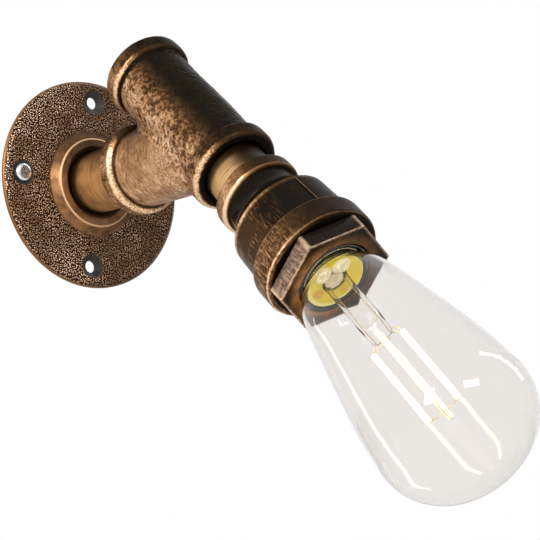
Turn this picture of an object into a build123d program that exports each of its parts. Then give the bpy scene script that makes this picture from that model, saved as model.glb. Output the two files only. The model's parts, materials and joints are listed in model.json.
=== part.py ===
"""Industrial pipe wall light: floor flange, wye fitting, reducing socket and a clear filament bulb.

Millimetres, +Z up. The origin is the middle of the flange's back face. The wall is the plane Y = 0
and the light stands out from it towards -Y. The lamp axis leaves the wye at 45 degrees, forward and
down; distances along it are counted from the crossing of the two pipe axes. The casting is a
little less than its nominal 45 degrees, and the bulb's glass leans a little in its cap.
"""

from math import cos, radians, sin, tan
import os

from build123d import *

# ---------------------------------------------------------------- driving dimensions
PIPE_R = 13.2  # outside of the 3/4 inch nipples
PIPE_BORE_R = 10.4
SOCKET_R = 13.26  # plain bore that stands for the pipe thread
UPPER_BEAD_R = 18.2  # rolled bands round the mouths of the wye
LOWER_BEAD_R = 19.2
BRANCH_BEAD_R = 19.2
BEAD_ROUND = 2.4
WYE_UPPER_R = 15.7  # the run's body swells from its upper to its lower mouth
WYE_LOWER_R = 17.1
BRANCH_BODY_R = 16.4
WYE_BORE_R = 12.2
CROSSING_OUT = 86.9  # wall to the crossing of the wye's two axes
LATERAL_ANGLE = 44.15
ARM_TURN = 7.2  # the lamp arm hangs this far off plumb, towards +X

FLANGE_R = 45.0
FLANGE_T = 3.0
HUB_R = 21.2
HUB_FACE_R = 18.7
HUB_OUT = 6.3
SCREW_CIRCLE_R = 36.0
SCREW_HOLE_R = 2.65
COUNTERSINK_R = 5.4
COUNTERSINK_ANGLE = 120.0

BRANCH_END = 54.0  # branch mouth, from the crossing
UPPER_END = 57.6
LOWER_END = 17.8
BEAD_W = 8.4
BRANCH_BEAD_W = 7.8

SMALL_BEAD = (31.0, 37.9)  # reducing socket, along the lamp axis
SMALL_BEAD_R = 17.75
SOCKET_BODY_START = 52.6
SOCKET_BODY_R = 21.8  # where the body starts; it widens towards the large bead
SOCKET_BODY_FLARE = 1.1
LARGE_BEAD = (70.4, 81.8)
LARGE_BEAD_R = 25.1
SOCKET_CAVITY_R = 19.6
SHOULDER = 58.0  # step inside the socket that the lampholder's collar rests on

HEX_BACK = 83.2
HEX_FACE = 90.6
HEX_FLATS = 42.5
HEX_TURN = -35.1  # angle of one corner about the lamp axis
BUSHING_BORE_R = 16.0
BUSHING_END = 60.6

COLLAR = (SHOULDER, BUSHING_END)
HOLDER_R = 15.8
HOLDER_BORE_R = 14.5
INSERT_BACK = 52.5
INSERT_FACE = 58.5
SCREW_SHELL_R = 13.5  # clear radius inside the lampholder's screw shell

CAP_RIM = 89.5  # bulb cap, along the lamp axis
CAP_BOTTOM = 70.0
CAP_R = 13.0
CONTACT_TIP = 63.0
GLASS_LEAN = 2.2  # the glass leans in its cap by this angle ...
GLASS_LEAN_TURN = 243.0  # ... towards this turn about the lamp axis ...
GLASS_ASIDE = 0.4  # ... and is cemented this far off its centre
BULB_R = 32.1
BULB_WIDEST = 174.0
BULB_TIP = 199.0
BULB_SHOULDER_R = 23.6  # the rounding between the widest place and the end
GLASS_T = 0.9
STEM_R = 5.2
SHIELD_AT = 90.9
SHIELD_R = 12.5
SHIELD_T = 0.5
STEM_TOP = 122.0
FILAMENT = (127.0, 167.0)
FILAMENT_RING_R = 7.0
FILAMENT_R = 0.95
FILAMENT_TURN = 56.0

WIRE_R = 1.1
WIRE_SPREAD = 2.6

# ---------------------------------------------------------------- frames
TURN = radians(ARM_TURN)
LEAN = radians(LATERAL_ANGLE)
CROSSING = Vector(0, -CROSSING_OUT, 0)
ARM_X = Vector(cos(TURN), 0, sin(TURN))
ARM_UP = Vector(-sin(TURN), 0, cos(TURN))
OUT = Vector(0, -1, 0)
LAMP_DIR = OUT * cos(LEAN) - ARM_UP * sin(LEAN)

WALL_AXIS = Axis((0, 0, 0), OUT)
LAMP_AXIS = Axis(CROSSING, LAMP_DIR)
# Sections: local x is the radius, local y the distance along the axis.
WALL_SECTION = Plane(origin=(0, 0, 0), x_dir=(1, 0, 0), z_dir=(0, 0, -1))
LAMP_SECTION = Plane(origin=CROSSING, x_dir=ARM_X, z_dir=ARM_X.cross(LAMP_DIR))


def across_lamp(distance, turn=0.0):
    """The plane square to the lamp axis at a distance from the crossing, facing the bulb."""
    across = ARM_X.rotate(Axis((0, 0, 0), LAMP_DIR), turn)
    return Plane(origin=CROSSING + LAMP_DIR * distance, x_dir=across, z_dir=LAMP_DIR)


def turned_on_wall(*points, mode=Mode.ADD):
    """Turn an outline of (radius, distance from the wall) points about the wall nipple's axis."""
    with BuildSketch(WALL_SECTION) as section:
        Polygon(*points, align=None)
    revolve(section.sketch, axis=WALL_AXIS, mode=mode)


def turned_on_lamp(*points, mode=Mode.ADD):
    """Turn an outline of (radius, distance from the crossing) points about the lamp axis."""
    with BuildSketch(LAMP_SECTION) as section:
        Polygon(*points, align=None)
    revolve(section.sketch, axis=LAMP_AXIS, mode=mode)


def banded(plane, axis, outer, inner, start, end, rounding):
    """Add a rolled band round a mouth: a ring with both of its outer edges rounded."""
    with BuildSketch(plane) as section:
        with Locations(((outer + inner) / 2, (start + end) / 2)):
            Rectangle(outer - inner, end - start)
        fillet(section.vertices().group_by(Axis.X)[-1], radius=rounding)
    revolve(section.sketch, axis=axis)


def tube_section(outer, inner, start, end, chamfer_by=0.0):
    """Outline of a plain tube with chamfered outer corners."""
    return (
        (inner, start),
        (outer - chamfer_by, start),
        (outer, start + chamfer_by),
        (outer, end - chamfer_by),
        (outer - chamfer_by, end),
        (inner, end),
    )


os.makedirs("parts", exist_ok=True)


def keep(builder, name):
    """Label a finished piece and write it."""
    builder.part.label = name
    export_step(builder.part, f"parts/{name}.step")
    print(f"{name}: {len(builder.part.solids())} solid(s)")


# ---------------------------------------------------------------- wall side
# Floor flange: a cast plate with a short tapped boss and four countersunk holes.
THREAD_LEAD_IN = 2.6
with BuildPart() as wall_flange:
    turned_on_wall(
        (SOCKET_R, 0),
        (FLANGE_R - 0.5, 0),
        (FLANGE_R, 0.5),
        (FLANGE_R, 1.3),
        (FLANGE_R - 1.7, FLANGE_T),
        (HUB_R + 0.9, FLANGE_T),
        (HUB_R, FLANGE_T + 0.9),
        (HUB_FACE_R + 0.6, HUB_OUT - 0.3),
        (HUB_FACE_R, HUB_OUT),
        (SOCKET_R + THREAD_LEAD_IN, HUB_OUT),
        (SOCKET_R, HUB_OUT - THREAD_LEAD_IN),
    )
    with Locations(Plane(origin=(0, -FLANGE_T, 0), x_dir=(1, 0, 0), z_dir=OUT)):
        with PolarLocations(SCREW_CIRCLE_R, 4):
            CounterSinkHole(SCREW_HOLE_R, COUNTERSINK_R, counter_sink_angle=COUNTERSINK_ANGLE)
keep(wall_flange, "wall_flange")

# Fixing screws: pan heads with a cross recess, left and right, seated in the countersinks.
SCREW_HEAD_R = 3.95
SCREW_HEAD_H = 2.5
SCREW_SEAT = FLANGE_T - (COUNTERSINK_R - SCREW_HEAD_R) / tan(radians(COUNTERSINK_ANGLE / 2))
SCREW_SHANK_R = 1.95
RECESS_W = 0.9
with BuildPart() as fixing_screws:
    for side in (-1, 1):
        seat = Plane(origin=(side * SCREW_CIRCLE_R, -SCREW_SEAT, 0), x_dir=(1, 0, 0), z_dir=OUT)
        with BuildSketch(seat):
            Circle(SCREW_HEAD_R)
        extrude(amount=SCREW_HEAD_H)
        with BuildSketch(seat):
            Circle(SCREW_SHANK_R)
        extrude(amount=-(SCREW_SEAT - 0.15))
    crowns = fixing_screws.faces().sort_by(Axis.Y)[0:2]
    fillet(crowns.edges(), radius=1.6)
    for side in (-1, 1):
        crown = Plane(
            origin=(side * SCREW_CIRCLE_R, -SCREW_SEAT - SCREW_HEAD_H, 0), x_dir=(1, 0, 0), z_dir=OUT
        )
        with BuildSketch(crown):
            Rectangle(4.0, RECESS_W, rotation=25)
            Rectangle(RECESS_W, 4.0, rotation=25)
        extrude(amount=-1.4, taper=12, mode=Mode.SUBTRACT)
keep(fixing_screws, "fixing_screws")

# Wall nipple: a length of pipe from the flange's boss into the wye's branch.
NIPPLE_INNER_END = 46.5
with BuildPart() as wall_nipple:
    turned_on_wall(*tube_section(PIPE_R, PIPE_BORE_R, 0.6, NIPPLE_INNER_END, 0.8))
keep(wall_nipple, "wall_nipple")

# ---------------------------------------------------------------- wye
# Cast 45-degree lateral: a straight run with a beaded mouth at each end, and a branch to the wall.
BRANCH_MOUTH = CROSSING_OUT - BRANCH_END
THREAD_DEPTH = 14.4
CROTCH_ROUND = 3.0
with BuildPart() as wye_fitting:
    turned_on_lamp((0, -UPPER_END), (WYE_UPPER_R, -UPPER_END), (WYE_LOWER_R, LOWER_END), (0, LOWER_END))
    with BuildSketch(Plane(origin=(0, -BRANCH_MOUTH, 0), x_dir=(1, 0, 0), z_dir=OUT)):
        Circle(BRANCH_BODY_R)
    extrude(amount=BRANCH_END)
    fillet(wye_fitting.edges().filter_by(GeomType.BSPLINE), radius=CROTCH_ROUND)
    for start, bead_r in ((-UPPER_END, UPPER_BEAD_R), (LOWER_END - BEAD_W, LOWER_BEAD_R)):
        banded(LAMP_SECTION, LAMP_AXIS, bead_r, WYE_BORE_R - 1, start, start + BEAD_W, BEAD_ROUND)
    banded(
        WALL_SECTION,
        WALL_AXIS,
        BRANCH_BEAD_R,
        WYE_BORE_R - 1,
        BRANCH_MOUTH,
        BRANCH_MOUTH + BRANCH_BEAD_W,
        BEAD_ROUND,
    )
    # Ports, then the wider tapped mouths with their lead-in cones.
    turned_on_lamp(*tube_section(WYE_BORE_R, 0, -UPPER_END, LOWER_END), mode=Mode.SUBTRACT)
    turned_on_wall(*tube_section(WYE_BORE_R, 0, BRANCH_MOUTH, CROSSING_OUT), mode=Mode.SUBTRACT)
    for mouth, inward in ((-UPPER_END, 1), (LOWER_END, -1)):
        turned_on_lamp(
            (0, mouth),
            (SOCKET_R + 1.6, mouth),
            (SOCKET_R, mouth + inward * 1.6),
            (SOCKET_R, mouth + inward * THREAD_DEPTH),
            (0, mouth + inward * THREAD_DEPTH),
            mode=Mode.SUBTRACT,
        )
    turned_on_wall(
        (0, BRANCH_MOUTH),
        (SOCKET_R + 1.6, BRANCH_MOUTH),
        (SOCKET_R, BRANCH_MOUTH + 1.6),
        (SOCKET_R, BRANCH_MOUTH + THREAD_DEPTH),
        (0, BRANCH_MOUTH + THREAD_DEPTH),
        mode=Mode.SUBTRACT,
    )
keep(wye_fitting, "wye_fitting")

# Closing plug: a flush pipe plug with a hexagon socket. It is the way in to the wires.
PLUG_FACE = -UPPER_END + 0.5
PLUG_INNER = -UPPER_END + 12.5
with BuildPart() as end_plug:
    turned_on_lamp(*tube_section(PIPE_R, 0, PLUG_FACE, PLUG_INNER, 0.8))
    with BuildSketch(across_lamp(PLUG_FACE)):
        RegularPolygon(radius=5.0, side_count=6, major_radius=False)
    extrude(amount=6.5, mode=Mode.SUBTRACT)
    with BuildSketch(across_lamp(PLUG_INNER)):
        Circle(1.75)
    extrude(amount=-4.5, mode=Mode.SUBTRACT)
keep(end_plug, "end_plug")

# ---------------------------------------------------------------- lamp side pipework
# Lamp nipple: joins the wye's lower mouth to the reducing socket.
LAMP_NIPPLE = (LOWER_END - THREAD_DEPTH + 0.4, 44.0)
with BuildPart() as lamp_nipple:
    turned_on_lamp(*tube_section(PIPE_R, PIPE_BORE_R, *LAMP_NIPPLE, 0.8))
keep(lamp_nipple, "lamp_nipple")

# Reducing socket: cast bell with a bead at each mouth, a flared neck and two long wrench ribs.
NECK_R = 15.7
RIB_TURN = 101.0
RIB_W = 2.2
with BuildPart() as reducing_socket:
    with BuildSketch(LAMP_SECTION):
        with BuildLine():
            neck_start = (NECK_R, SMALL_BEAD[1] + 0.4)
            body_start = (SOCKET_BODY_R, SOCKET_BODY_START)
            ThreePointArc(neck_start, (16.9, 46.0), body_start)
            Polyline(
                body_start,
                (SOCKET_BODY_R + SOCKET_BODY_FLARE, LARGE_BEAD[0] + 1),
                (SOCKET_BODY_R, LARGE_BEAD[1] - 1),
                (SOCKET_CAVITY_R, LARGE_BEAD[1] - 1),
                (SOCKET_CAVITY_R, SHOULDER),
                (17.6, SHOULDER),
                (16.4, 51.5),
                (12.6, 46.5),
                (SOCKET_R, 46.5),
                (SOCKET_R, SMALL_BEAD[0] + 1),
                (NECK_R, SMALL_BEAD[0] + 1),
                neck_start,
            )
        make_face()
    revolve(axis=LAMP_AXIS)
    for turn in (RIB_TURN, RIB_TURN + 180):
        rib_across = ARM_X.rotate(Axis((0, 0, 0), LAMP_DIR), turn)
        with BuildSketch(Plane(origin=CROSSING, x_dir=rib_across, z_dir=rib_across.cross(LAMP_DIR))):
            Polygon(
                (SOCKET_BODY_R - 1.2, SOCKET_BODY_START + 1.2),
                (SOCKET_BODY_R + 0.7, SOCKET_BODY_START + 1.9),
                (SOCKET_BODY_R + SOCKET_BODY_FLARE + 0.8, LARGE_BEAD[0] + 1),
                (SOCKET_BODY_R - 1.2, LARGE_BEAD[0] + 1),
                align=None,
            )
        extrude(amount=RIB_W / 2, both=True)
    banded(LAMP_SECTION, LAMP_AXIS, SMALL_BEAD_R, SOCKET_R, *SMALL_BEAD, 1.7)
    banded(LAMP_SECTION, LAMP_AXIS, LARGE_BEAD_R, SOCKET_CAVITY_R, *LARGE_BEAD, 2.0)
keep(reducing_socket, "reducing_socket")

# Hexagon bushing: its threaded shank holds the lampholder's collar down on the shoulder.
with BuildPart() as hex_bushing:
    turned_on_lamp(
        *tube_section(SOCKET_CAVITY_R - 0.04, BUSHING_BORE_R, BUSHING_END + 0.05, HEX_BACK, 0.6)
    )
    with BuildSketch(across_lamp(HEX_BACK, HEX_TURN)):
        RegularPolygon(radius=HEX_FLATS / 2, side_count=6, major_radius=False)
        Circle(BUSHING_BORE_R, mode=Mode.SUBTRACT)
    extrude(amount=HEX_FACE - HEX_BACK)
keep(hex_bushing, "hex_bushing")

# ---------------------------------------------------------------- lampholder
# Holder shell: black moulded sleeve with a clamped collar; its lip shows round the bulb's neck.
with BuildPart() as holder_shell:
    turned_on_lamp(
        (HOLDER_BORE_R, INSERT_BACK),
        (HOLDER_R, COLLAR[0] - 1.4),
        (HOLDER_R + 1.4, COLLAR[0] + 0.02),
        (SOCKET_CAVITY_R - 0.3, COLLAR[0] + 0.02),
        (SOCKET_CAVITY_R - 0.3, COLLAR[1]),
        (HOLDER_R, COLLAR[1] + 0.3),
        (HOLDER_R, HEX_FACE - 0.9),
        (HOLDER_R - 0.5, HEX_FACE - 0.3),
        (HOLDER_BORE_R + 0.3, HEX_FACE - 0.3),
        (HOLDER_BORE_R, HEX_FACE - 0.8),
    )
keep(holder_shell, "holder_shell")

# Holder insert: a porcelain disc that carries the screw shell, the contact and both terminals.
TERMINAL_SPREAD = 9.0
with BuildPart() as holder_insert:
    turned_on_lamp(*tube_section(HOLDER_BORE_R - 0.05, 0, INSERT_BACK + 0.3, INSERT_FACE, 0.4))
    with BuildSketch(across_lamp(INSERT_FACE)):
        Circle(6.0)
    extrude(amount=-1.2, mode=Mode.SUBTRACT)
    with BuildSketch(across_lamp(INSERT_FACE)):
        with Locations((TERMINAL_SPREAD, 0), (-TERMINAL_SPREAD, 0)):
            Circle(1.6)
    extrude(amount=-(INSERT_FACE - INSERT_BACK), mode=Mode.SUBTRACT)
keep(holder_insert, "holder_insert")

# Terminal screws: two cheese-head screws on the back of the insert.
with BuildPart() as terminal_screws:
    for side in (-1, 1):
        with BuildSketch(across_lamp(INSERT_BACK + 0.25)):
            with Locations((side * TERMINAL_SPREAD, 0)):
                Circle(2.5)
                Rectangle(0.7, 6, mode=Mode.SUBTRACT)
        extrude(amount=-1.3)
        with BuildSketch(across_lamp(INSERT_BACK - 0.35)):
            with Locations((side * TERMINAL_SPREAD, 0)):
                Circle(2.5)
        extrude(amount=0.6)
        with BuildSketch(across_lamp(INSERT_BACK + 0.25)):
            with Locations((side * TERMINAL_SPREAD, 0)):
                Circle(1.55)
        extrude(amount=5.2)
keep(terminal_screws, "terminal_screws")

# Holder cap: moulded cup behind the insert with the wire entry in its middle.
CAP_ENTRY_R = 4.6
with BuildPart() as holder_cap:
    turned_on_lamp(
        (CAP_ENTRY_R, 46.0),
        (10.2, 46.0),
        (14.4, INSERT_BACK + 0.25),
        (12.8, INSERT_BACK + 0.25),
        (9.0, 47.6),
        (CAP_ENTRY_R, 47.6),
    )
keep(holder_cap, "holder_cap")

# Screw shell: a thin drawn cup with a turned-in foot that rests on the insert.
with BuildPart() as screw_shell:
    turned_on_lamp(
        (7.0, INSERT_FACE + 0.02),
        (SCREW_SHELL_R + 0.4, INSERT_FACE + 0.02),
        (SCREW_SHELL_R + 0.4, CAP_RIM - 5.0),
        (SCREW_SHELL_R, CAP_RIM - 5.0),
        (SCREW_SHELL_R, INSERT_FACE + 0.45),
        (7.0, INSERT_FACE + 0.45),
    )
keep(screw_shell, "screw_shell")

# Centre contact: a brass leaf that rises from the insert's recess to the bulb's tip.
LEAF_W = 4.5
LEAF_T = 0.5
with BuildPart() as centre_contact:
    with BuildSketch(LAMP_SECTION):
        with BuildLine():
            leaf = FilletPolyline(
                (4.8, INSERT_FACE - 0.9), (-4.5, INSERT_FACE - 0.9), (3.6, CONTACT_TIP - 0.65), radius=0.8
            )
            offset(leaf, amount=LEAF_T / 2, side=Side.BOTH)
        make_face()
    extrude(amount=LEAF_W / 2, both=True)
keep(centre_contact, "centre_contact")

# ---------------------------------------------------------------- wires
# Live and neutral run from the wall through both nipples to the terminals, bent once at the wye.
WIRE_START = Vector(0, -1.5, 0)
for name, side in (("wire_live", 1), ("wire_neutral", -1)):
    with BuildPart() as wire:
        with BuildLine() as route:
            FilletPolyline(
                WIRE_START + ARM_X * side * WIRE_SPREAD,
                CROSSING + ARM_X * side * WIRE_SPREAD,
                CROSSING + LAMP_DIR * 48.0 + ARM_X * side * WIRE_SPREAD,
                CROSSING + LAMP_DIR * 51.2 + ARM_X * side * 5.4,
                radius=(34.0, 3.0),
            )
        with BuildSketch(Plane(origin=route.line @ 0, z_dir=route.line % 0)):
            Circle(WIRE_R)
        sweep(path=route.line)
    keep(wire, name)

# Earth: its wire turns up to the closing plug, where a ring tag sits under a screw.
TAG_FACE = PLUG_INNER + 0.05
TAG_T = 0.8
with BuildPart() as earth_tag:
    with BuildSketch(across_lamp(TAG_FACE)):
        Circle(4.0)
        with Locations((0, 5.0)):
            Rectangle(3.4, 5.0)
        Circle(2.0, mode=Mode.SUBTRACT)
    extrude(amount=TAG_T)
keep(earth_tag, "earth_tag")

with BuildPart() as earth_screw:
    with BuildSketch(across_lamp(TAG_FACE + TAG_T + 0.02)):
        Circle(3.3)
    extrude(amount=2.0)
    fillet(earth_screw.faces().sort_by(LAMP_AXIS)[-1].edges(), radius=1.0)
    with BuildSketch(across_lamp(TAG_FACE + TAG_T + 0.02)):
        Circle(1.7)
    extrude(amount=-4.6)
keep(earth_screw, "earth_screw")

LAMP_UP = LAMP_DIR.cross(ARM_X)
with BuildPart() as wire_earth:
    with BuildLine() as earth_route:
        FilletPolyline(
            WIRE_START + ARM_UP * 3.4,
            CROSSING + ARM_UP * 3.4 - OUT * 6.0,
            CROSSING + LAMP_DIR * (TAG_FACE + TAG_T + 0.4) + LAMP_UP * 6.2,
            radius=8.0,
        )
    with BuildSketch(Plane(origin=earth_route.line @ 0, z_dir=earth_route.line % 0)):
        Circle(WIRE_R)
    sweep(path=earth_route.line)
keep(wire_earth, "wire_earth")

# ---------------------------------------------------------------- bulb
# Contact tip: the solder button on the bulb's end.
with BuildPart() as bulb_contact_tip:
    with BuildSketch(LAMP_SECTION):
        with BuildLine():
            ThreePointArc((0, CONTACT_TIP), (3.2, CONTACT_TIP + 0.45), (4.7, CONTACT_TIP + 1.5))
            Polyline((4.7, CONTACT_TIP + 1.5), (0, CONTACT_TIP + 1.5), (0, CONTACT_TIP))
        make_face()
    revolve(axis=LAMP_AXIS)
keep(bulb_contact_tip, "bulb_contact_tip")

# Cap insulator: the dark glass cone between the tip and the metal cap.
with BuildPart() as bulb_cap_insulator:
    turned_on_lamp(
        (0, CONTACT_TIP + 1.52),
        (5.4, CONTACT_TIP + 1.52),
        (11.6, CAP_BOTTOM - 0.3),
        (11.6, CAP_BOTTOM + 1.0),
        (0, CAP_BOTTOM + 1.0),
    )
keep(bulb_cap_insulator, "bulb_cap_insulator")

# Cap shell: a thin screw cap with a flared rim.
CAP_T = 0.45
with BuildPart() as bulb_cap_shell:
    turned_on_lamp(
        (11.7, CAP_BOTTOM - 0.2),
        (12.1, CAP_BOTTOM - 0.2),
        (CAP_R, CAP_BOTTOM + 1.2),
        (CAP_R, CAP_RIM - 2.2),
        (CAP_R + 0.6, CAP_RIM - 1.4),
        (CAP_R + 0.6, CAP_RIM),
        (CAP_R + 0.2, CAP_RIM),
        (CAP_R - CAP_T, CAP_RIM - 2.0),
        (CAP_R - CAP_T, CAP_BOTTOM + 1.4),
        (11.7, CAP_BOTTOM + 1.1),
    )
keep(bulb_cap_shell, "bulb_cap_shell")

# Driver: the round circuit board inside the cap.
with BuildPart() as bulb_driver:
    with BuildSketch(across_lamp(74.0)):
        Circle(CAP_R - CAP_T - 0.1)
    extrude(amount=1.2)
    with BuildSketch(across_lamp(75.2)):
        with Locations((-4, 2)):
            Rectangle(5, 4)
        with Locations((4, -2)):
            Circle(2.4)
    extrude(amount=2.6)
keep(bulb_driver, "bulb_driver")

# The glass and all that is sealed in it are made on the lamp axis and then leaned as one.
LEAN_WAY = ARM_X.rotate(Axis((0, 0, 0), LAMP_DIR), GLASS_LEAN_TURN)
LEAN_AXIS = Axis(CROSSING + LAMP_DIR * 84.0, LAMP_DIR.cross(LEAN_WAY))


def keep_in_glass(builder, name):
    """Lean a piece with the glass, label it and write it."""
    leaned = builder.part.rotate(LEAN_AXIS, GLASS_LEAN).moved(Location(LEAN_WAY * GLASS_ASIDE))
    leaned.label = name
    export_step(leaned, f"parts/{name}.step")
    print(f"{name}: {len(leaned.solids())} solid(s)")


# Glass: blown envelope, a narrow neck that flares into a long cone and a rounded end.
NECK_IN_CAP = 82.0
NECK_IN_CAP_R = 11.65
# The end is one large arc that meets the shoulder arc, which in turn meets the widest place.
SHOULDER_IN = BULB_R - BULB_SHOULDER_R
END_DEPTH = BULB_TIP - BULB_WIDEST
END_R = (SHOULDER_IN**2 + END_DEPTH**2 - BULB_SHOULDER_R**2) / (2 * (END_DEPTH - BULB_SHOULDER_R))
END_MIDDLE = BULB_TIP - END_R
MEETING = (Vector(SHOULDER_IN, BULB_WIDEST) - Vector(0, END_MIDDLE)).normalized()
with BuildPart() as bulb_glass:
    for inset, mode in ((0, Mode.ADD), (GLASS_T, Mode.SUBTRACT)):
        with BuildSketch(LAMP_SECTION) as envelope:
            with BuildLine():
                neck_low = (NECK_IN_CAP_R - inset, NECK_IN_CAP)
                neck_high = (NECK_IN_CAP_R + 0.3 - inset, CAP_RIM - 0.5)
                widest = (BULB_R - inset, BULB_WIDEST)
                end = (0, BULB_TIP - inset)
                Line(neck_low, neck_high)
                Spline(
                    neck_high,
                    (13.7 - inset, 90.7),
                    (17.3 - inset, 95.0),
                    (20.5 - inset, 103.5),
                    (26.0 - inset, 130.5),
                    (30.2 - inset, 154.5),
                    widest,
                    tangents=((0.2, 1), (0, 1)),
                )
                meet = Vector(0, END_MIDDLE) + MEETING * (END_R - inset)
                TangentArc(widest, meet, tangent=(0, 1))
                TangentArc(meet, end, tangent=(-MEETING.Y, MEETING.X))
                Polyline(end, (0, NECK_IN_CAP), neck_low)
            make_face()
        revolve(envelope.sketch, axis=LAMP_AXIS, mode=mode)
keep_in_glass(bulb_glass, "bulb_glass")

# Stem: flared glass tube sealed into the neck, pinched at its top round the lead wires.
with BuildPart() as bulb_stem:
    turned_on_lamp(
        (4.2, 84.0),
        (10.7, 84.0),
        (10.7, 84.8),
        (7.0, 87.0),
        (STEM_R, 89.8),
        (STEM_R, 113.0),
        (2.2, STEM_TOP),
        (0, STEM_TOP + 0.8),
        (0, 115.0),
        (4.2, 111.0),
    )
keep_in_glass(bulb_stem, "bulb_stem")

# Neck shield: a disc on the stem that keeps the filaments' heat and light out of the cap.
with BuildPart() as neck_shield:
    with BuildSketch(across_lamp(SHIELD_AT)):
        Circle(SHIELD_R)
        Circle(STEM_R + 0.4, mode=Mode.SUBTRACT)
    extrude(amount=SHIELD_T)
keep_in_glass(neck_shield, "neck_shield")

# Lead wires: two wires that leave the pinch and carry the near ends of the filaments.
LEAD_R = 0.35
with BuildPart() as bulb_lead_wires:
    for turn in (FILAMENT_TURN, FILAMENT_TURN + 180):
        plane = across_lamp(0, turn)
        with BuildLine() as lead:
            Polyline(
                plane.from_local_coords((2.4, 0, STEM_TOP - 0.4)),
                plane.from_local_coords((FILAMENT_RING_R, 0, FILAMENT[0] - 0.5)),
            )
        with BuildSketch(Plane(origin=lead.line @ 0, z_dir=lead.line % 0)):
            Circle(LEAD_R)
        sweep(path=lead.line)
keep_in_glass(bulb_lead_wires, "bulb_lead_wires")

# Filament supports: a centre wire with a cross at its far end that ties the four filaments.
with BuildPart() as filament_supports:
    with BuildSketch(across_lamp(STEM_TOP + 1.0)):
        Circle(LEAD_R + 0.1)
    extrude(amount=FILAMENT[1] + 0.8 - STEM_TOP)
    with BuildSketch(across_lamp(FILAMENT[1] + 0.6, FILAMENT_TURN)):
        Rectangle(2 * FILAMENT_RING_R + 1.2, 0.8)
        Rectangle(0.8, 2 * FILAMENT_RING_R + 1.2)
    extrude(amount=0.7)
keep_in_glass(filament_supports, "filament_supports")

# Filaments: four coated rods round the lamp axis.
with BuildPart() as led_filaments:
    with BuildSketch(across_lamp(FILAMENT[0], FILAMENT_TURN)):
        with PolarLocations(FILAMENT_RING_R, 4):
            Circle(FILAMENT_R)
    extrude(amount=FILAMENT[1] - FILAMENT[0])
keep_in_glass(led_filaments, "led_filaments")
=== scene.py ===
"""Industrial pipe wall light in aged bronze, with a clear filament bulb, dressed over its CAD frame."""

import bpy
import numpy as np
from mathutils import Matrix, Vector
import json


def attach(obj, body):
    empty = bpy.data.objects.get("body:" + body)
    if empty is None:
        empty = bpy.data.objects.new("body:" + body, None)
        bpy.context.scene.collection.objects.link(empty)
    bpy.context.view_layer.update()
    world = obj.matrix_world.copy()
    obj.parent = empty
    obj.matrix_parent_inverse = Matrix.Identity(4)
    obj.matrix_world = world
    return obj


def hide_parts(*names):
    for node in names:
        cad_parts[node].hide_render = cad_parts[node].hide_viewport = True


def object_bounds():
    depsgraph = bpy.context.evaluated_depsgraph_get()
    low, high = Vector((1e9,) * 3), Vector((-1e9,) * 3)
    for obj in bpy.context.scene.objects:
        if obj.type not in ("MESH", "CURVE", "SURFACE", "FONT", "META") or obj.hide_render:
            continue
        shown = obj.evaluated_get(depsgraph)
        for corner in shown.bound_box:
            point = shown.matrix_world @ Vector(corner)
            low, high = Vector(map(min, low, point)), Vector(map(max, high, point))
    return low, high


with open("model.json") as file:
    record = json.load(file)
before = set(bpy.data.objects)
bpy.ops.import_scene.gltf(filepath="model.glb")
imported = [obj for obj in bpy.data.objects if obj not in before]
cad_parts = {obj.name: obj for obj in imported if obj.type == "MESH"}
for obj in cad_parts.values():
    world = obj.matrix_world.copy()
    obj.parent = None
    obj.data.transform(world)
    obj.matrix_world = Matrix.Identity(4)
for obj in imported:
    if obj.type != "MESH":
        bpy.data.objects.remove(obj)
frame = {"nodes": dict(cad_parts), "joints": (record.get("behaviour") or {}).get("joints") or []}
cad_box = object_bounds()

CAMERA_PLACE = Vector((-0.57837, -0.82875, -0.22976))
VIEW_RIGHT = Vector((0.774416, -0.632651, -0.005717))
VIEW_UP = Vector((-0.114110, -0.148556, 0.982298))
LENS_MM, SENSOR_MM = 160.0, 36.0
NEAREST_M, FARTHEST_M = 0.05, 20.0


def placed(name, data):
    """A new object in the scene."""
    made = bpy.data.objects.new(name, data)
    bpy.context.scene.collection.objects.link(made)
    return made


camera = placed("camera", bpy.data.cameras.new("camera"))
camera.data.lens, camera.data.sensor_width = LENS_MM, SENSOR_MM
camera_axes = Matrix((VIEW_RIGHT, VIEW_UP, VIEW_RIGHT.cross(VIEW_UP))).transposed()
camera.matrix_world = Matrix.Translation(CAMERA_PLACE) @ camera_axes.to_4x4()
camera.data.clip_start, camera.data.clip_end = NEAREST_M, FARTHEST_M
bpy.context.scene.camera = camera
bpy.context.scene.view_settings.view_transform = "Standard"

# ---------------------------------------------------------------- studio
# A pale floor well below the light, a white room that shows in metal and glass, a tall soft lamp
# on the left and two weaker ones that open up the shadow side.
ROOM_FILL = 0.55  # how strongly the room lights the object; it is seen at 1, as white
FLOOR_DROP_M = 0.30
FLOOR_CORNERS_M = ((-6, -6), (6, -6), (6, 6), (-6, 6))
FLOOR_PALE, FLOOR_SEEN = (0.86,) * 3, (0.20,) * 3
FLOOR_LIFT = (0.82,) * 3  # the floor's own light where it is seen, as pale as the room
LAMPS = {  # name: place, aimed at, width, height, watts
    "left_softbox": ((-1.10, -0.55, 0.35), (0.0, -0.10, 0.0), 0.22, 0.52, 21.0),
    "front_softbox": ((-0.25, -1.50, 0.75), (0.0, -0.10, -0.05), 0.55, 0.32, 11.0),
    "right_strip": ((0.84, -0.30, 0.72), (0.0, -0.10, -0.02), 0.10, 0.9, 5.0),
}


def arithmetic(operation, swapped=False):
    """A method that adds one Math node: self and a second value, or the two swapped."""

    def apply(self, other=0.0):
        values = (other, self) if swapped else (self, other)
        return self.finish.node("ShaderNodeMath", {"operation": operation}, values)

    return apply


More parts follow.
